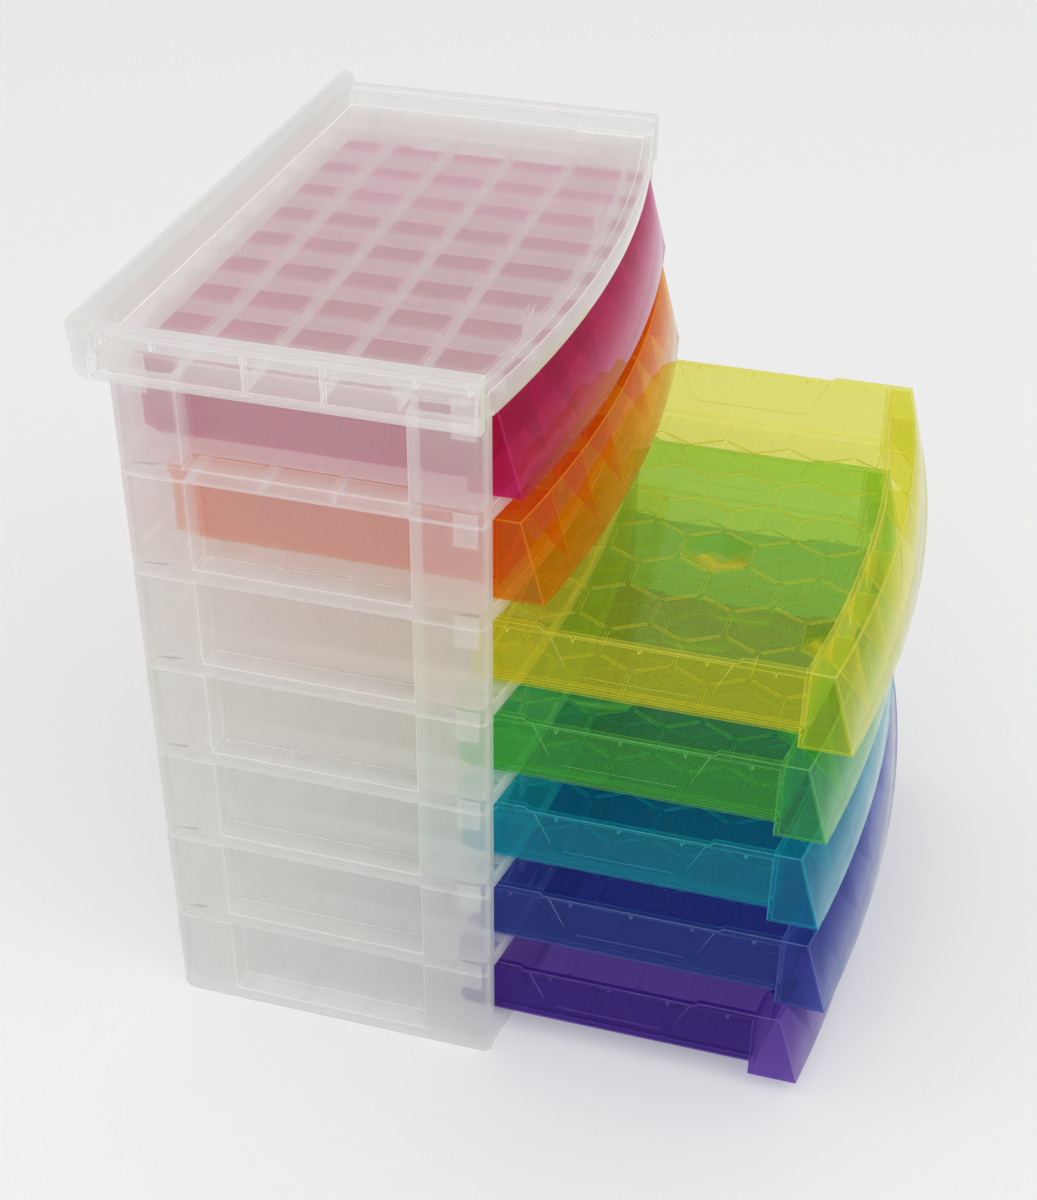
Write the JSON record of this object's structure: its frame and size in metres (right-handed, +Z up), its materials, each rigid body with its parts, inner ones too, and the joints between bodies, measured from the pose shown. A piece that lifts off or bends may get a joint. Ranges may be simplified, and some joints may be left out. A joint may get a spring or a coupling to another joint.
{
  "type": "desk drawer tower",
  "caption": "Tower of stacking translucent tiers, each with a coloured pull-out drawer with a bowed front, under a ribbed top cover that is a shallow tray.",
  "frame": {"origin": "middle of the base, on the table, under the middle of the cabinet", "axes": "+Z up, the drawers open towards -Y, +X to the right as seen from the front"},
  "size_m": [0.276, 0.3082, 0.3375],
  "materials": {
    "clear_frosted": "translucent frosted polypropylene, semi-gloss",
    "violet_translucent": "translucent tinted polypropylene, violet, gloss",
    "blue_translucent": "translucent tinted polypropylene, blue, gloss",
    "teal_translucent": "translucent tinted polypropylene, teal, gloss",
    "green_translucent": "translucent tinted polypropylene, green, gloss",
    "yellow_translucent": "translucent tinted polypropylene, yellow, gloss",
    "orange_translucent": "translucent tinted polypropylene, orange, gloss",
    "pink_translucent": "translucent tinted polypropylene, pink, gloss"
  },
  "bodies": {
    "cabinet": {"top_cover": "clear_frosted", "tier_1": "clear_frosted", "tier_2": "clear_frosted", "tier_3": "clear_frosted", "tier_4": "clear_frosted", "tier_5": "clear_frosted", "tier_6": "clear_frosted", "tier_7": "clear_frosted"},
    "drawer_1": {"drawer_1_violet": "violet_translucent"},
    "drawer_2": {"drawer_2_blue": "blue_translucent"},
    "drawer_3": {"drawer_3_teal": "teal_translucent"},
    "drawer_4": {"drawer_4_green": "green_translucent"},
    "drawer_5": {"drawer_5_yellow": "yellow_translucent"},
    "drawer_6": {"drawer_6_orange": "orange_translucent"},
    "drawer_7": {"drawer_7_pink": "pink_translucent"}
  },
  "joints": [
    {"name": "drawer_1_slide", "type": "slide", "parent": "cabinet", "child": "drawer_1", "axis": [0, -1, 0], "range_m": [-0.1233, 0.0087]},
    {"name": "drawer_2_slide", "type": "slide", "parent": "cabinet", "child": "drawer_2", "axis": [0, -1, 0], "range_m": [-0.1314, 0.0006]},
    {"name": "drawer_3_slide", "type": "slide", "parent": "cabinet", "child": "drawer_3", "axis": [0, -1, 0], "range_m": [-0.1247, 0.0073]},
    {"name": "drawer_4_slide", "type": "slide", "parent": "cabinet", "child": "drawer_4", "axis": [0, -1, 0], "range_m": [-0.1238, 0.0082]},
    {"name": "drawer_5_slide", "type": "slide", "parent": "cabinet", "child": "drawer_5", "axis": [0, -1, 0], "range_m": [-0.1296, 0.0024]},
    {"name": "drawer_6_slide", "type": "slide", "parent": "cabinet", "child": "drawer_6", "axis": [0, -1, 0], "range_m": [-0.0088, 0.1232]},
    {"name": "drawer_7_slide", "type": "slide", "parent": "cabinet", "child": "drawer_7", "axis": [0, -1, 0], "range_m": [0, 0.132]}
  ]
}
